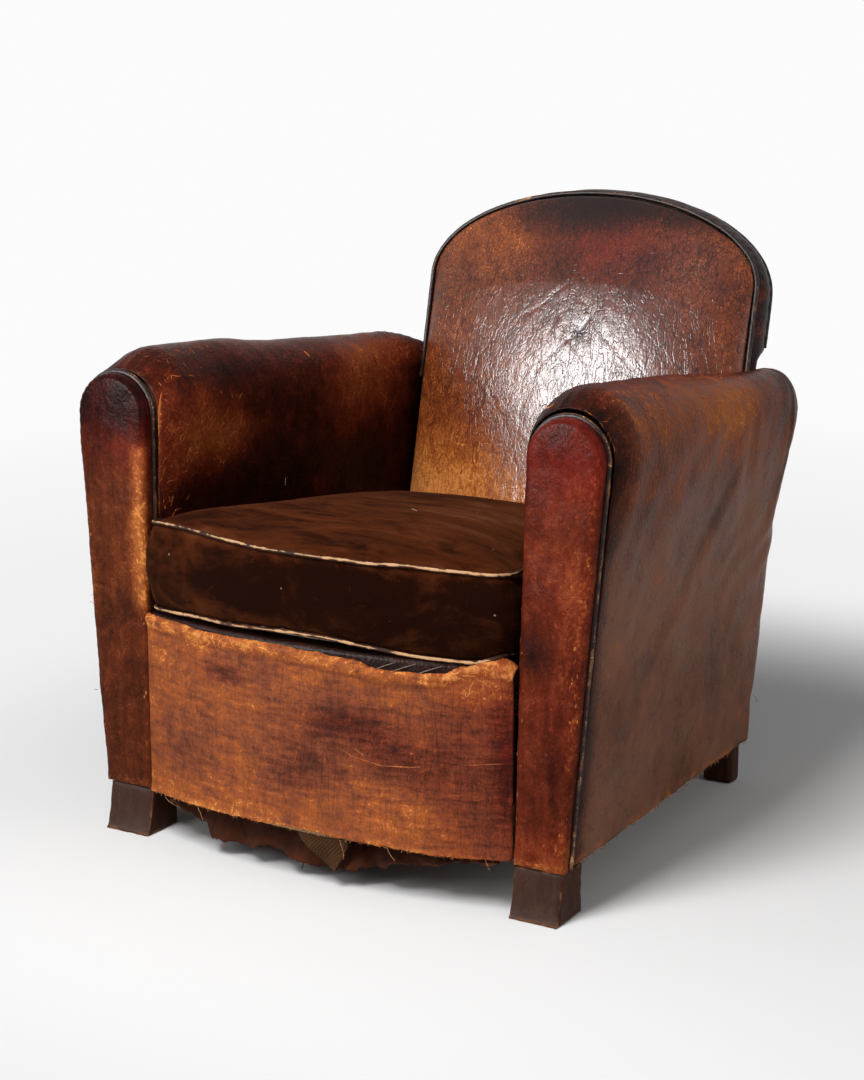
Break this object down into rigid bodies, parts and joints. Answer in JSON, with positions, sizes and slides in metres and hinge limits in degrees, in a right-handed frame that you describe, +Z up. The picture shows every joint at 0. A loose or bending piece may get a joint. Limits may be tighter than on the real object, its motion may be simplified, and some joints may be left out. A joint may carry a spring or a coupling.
{
  "type": "club chair",
  "caption": "Low leather club chair with rolled arms, an arched padded back, a bowed apron, block feet and a loose velvet seat cushion with pale welts, worn all over.",
  "frame": {"origin": "under the middle of the chair, on the floor", "axes": "+Z up, the chair faces -Y, +X is the sitter's left"},
  "size_m": [0.7681, 0.8412, 0.8035],
  "materials": {
    "worn_leather": "waxed, creased and rubbed",
    "tan_leather": "dry, napped and blotched",
    "dark_leather": "worn satin",
    "welt_leather": "bare and frayed",
    "velvet": "flattened pile",
    "black_cloth": "plain weave, torn",
    "cotton": "felted wadding",
    "hair": "curled hair",
    "jute": "coarse weave",
    "beech": "sawn",
    "dark_wood": "stained and scuffed",
    "spring_steel": "dull"
  },
  "bodies": {
    "root": {"front_foot_left": "dark_wood", "rear_leg_left": "dark_wood", "arm_front_board_left": "beech", "side_rail_left": "beech", "arm_tack_rail_left": "beech", "arm_rail_left": "beech", "arm_stuffing_left": "hair", "arm_leather_left": "worn_leather", "arm_piping_left": "dark_leather", "facing_leather_left": "worn_leather", "facing_pad_left": "cotton", "front_foot_right": "dark_wood", "rear_leg_right": "dark_wood", "arm_front_board_right": "beech", "side_rail_right": "beech", "arm_tack_rail_right": "beech", "arm_rail_right": "beech", "arm_stuffing_right": "hair", "arm_leather_right": "worn_leather", "arm_piping_right": "dark_leather", "facing_leather_right": "worn_leather", "facing_pad_right": "cotton", "front_rail": "beech", "rear_rail": "beech", "back_tack_rail": "beech", "crest_rail": "beech", "seat_webbing": "jute", "seat_spring_1": "spring_steel", "seat_spring_2": "spring_steel", "seat_spring_3": "spring_steel", "seat_spring_4": "spring_steel", "seat_spring_5": "spring_steel", "seat_spring_6": "spring_steel", "seat_spring_7": "spring_steel", "seat_spring_8": "spring_steel", "seat_spring_9": "spring_steel", "spring_burlap": "jute", "seat_stuffing": "hair", "seat_deck": "dark_leather", "front_apron": "tan_leather", "front_edge_pad": "hair", "back_webbing": "jute", "back_spring_1": "spring_steel", "back_spring_2": "spring_steel", "back_spring_3": "spring_steel", "back_spring_4": "spring_steel", "inside_back_leather": "worn_leather", "back_stuffing": "hair", "back_band": "worn_leather", "back_front_piping": "dark_leather", "back_rear_piping": "dark_leather", "outside_back_leather": "dark_leather", "cushion_top": "velvet", "cushion_bottom": "velvet", "cushion_boxing": "velvet", "cushion_filling": "cotton", "cushion_top_piping": "welt_leather", "cushion_bottom_piping": "welt_leather", "dust_cover": "black_cloth", "burlap_flap": "jute"}
  },
  "joints": []
}
